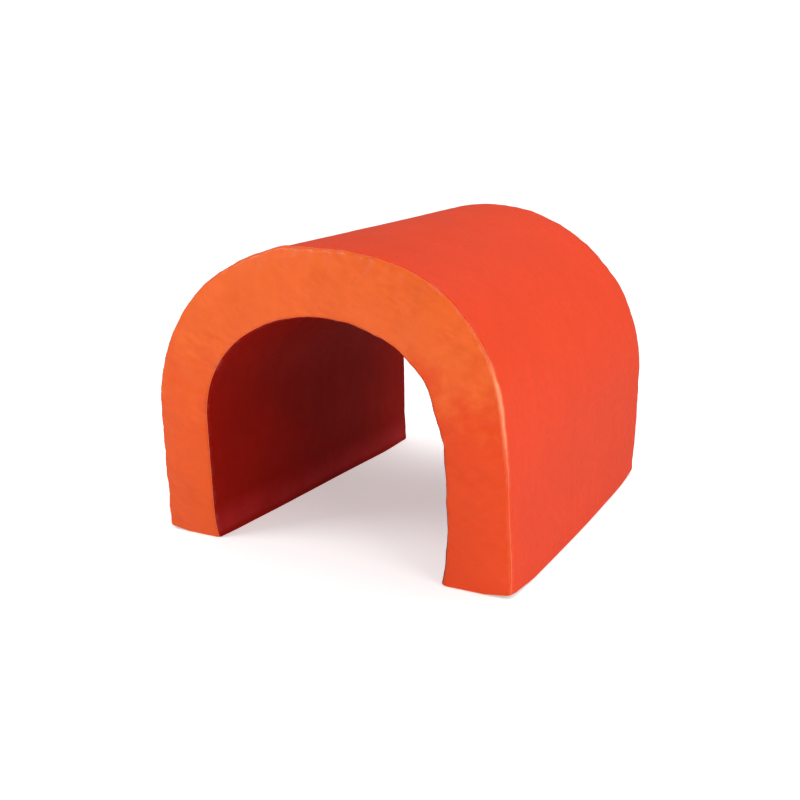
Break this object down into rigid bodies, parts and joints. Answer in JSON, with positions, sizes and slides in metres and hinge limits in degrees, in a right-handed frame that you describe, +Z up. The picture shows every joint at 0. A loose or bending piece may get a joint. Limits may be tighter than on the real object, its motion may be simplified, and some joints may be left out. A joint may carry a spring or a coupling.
{
  "type": "foam arch tunnel",
  "caption": "Free-standing soft tunnel: a foam arch in a sewn, padded vinyl cover that animals crawl through, with a recessed zip under each foot for taking the cover off.",
  "frame": {"origin": "on the floor under the middle of the tunnel (bottom centre of the bounding box)", "axes": "+Y along the tunnel from its front end to its rear end, +X across it towards the right leg, +Z up"},
  "size_m": [0.88, 0.97, 0.715],
  "materials": {
    "foam": "open-cell polyurethane foam",
    "end_vinyl": "satin orange coated vinyl",
    "wrap_vinyl": "satin red-orange coated vinyl",
    "lining_vinyl": "satin deep red coated vinyl",
    "seam_thread": "turned and stitched vinyl edge",
    "base_sheet": "matt non-slip sheet",
    "zip_tape": "woven polyester tape",
    "zip_coil": "moulded nylon coil",
    "zip_metal": "die-cast zinc, tumbled"
  },
  "bodies": {
    "tunnel": {"left_foam_leg": "foam", "left_foam_crown": "foam", "left_foot_seam": "seam_thread", "left_base_sheet_outer": "base_sheet", "left_zip_tape_outer": "zip_tape", "left_zip_coil_outer": "zip_coil", "left_base_sheet_inner": "base_sheet", "left_zip_tape_inner": "zip_tape", "left_zip_coil_inner": "zip_coil", "left_zip_stop_front": "zip_metal", "left_zip_stop_rear": "zip_metal", "right_foam_leg": "foam", "right_foam_crown": "foam", "right_foot_seam": "seam_thread", "right_base_sheet_outer": "base_sheet", "right_zip_tape_outer": "zip_tape", "right_zip_coil_outer": "zip_coil", "right_base_sheet_inner": "base_sheet", "right_zip_tape_inner": "zip_tape", "right_zip_coil_inner": "zip_coil", "right_zip_stop_front": "zip_metal", "right_zip_stop_rear": "zip_metal", "front_end_panel": "end_vinyl", "rear_end_panel": "end_vinyl", "outer_wrap": "wrap_vinyl", "inner_lining": "lining_vinyl", "front_outer_seam": "seam_thread", "front_inner_seam": "seam_thread", "rear_outer_seam": "seam_thread", "rear_inner_seam": "seam_thread"},
    "left_slider": {"left_zip_slider": "zip_metal"},
    "left_pull": {"left_zip_pull": "zip_metal"},
    "right_slider": {"right_zip_slider": "zip_metal"},
    "right_pull": {"right_zip_pull": "zip_metal"}
  },
  "joints": [
    {"name": "left_zip_slide", "type": "slide", "parent": "tunnel", "child": "left_slider", "axis": [0, -1, 0], "range_m": [0, 0.868]},
    {"name": "left_pull_hinge", "type": "hinge", "parent": "left_slider", "child": "left_pull", "pos_m": [-0.37, 0.434, 0.0026], "axis": [1, 0, 0], "range_deg": [0, 180]},
    {"name": "right_zip_slide", "type": "slide", "parent": "tunnel", "child": "right_slider", "axis": [0, -1, 0], "range_m": [0, 0.868]},
    {"name": "right_pull_hinge", "type": "hinge", "parent": "right_slider", "child": "right_pull", "pos_m": [0.37, 0.434, 0.0026], "axis": [1, 0, 0], "range_deg": [0, 180]}
  ]
}
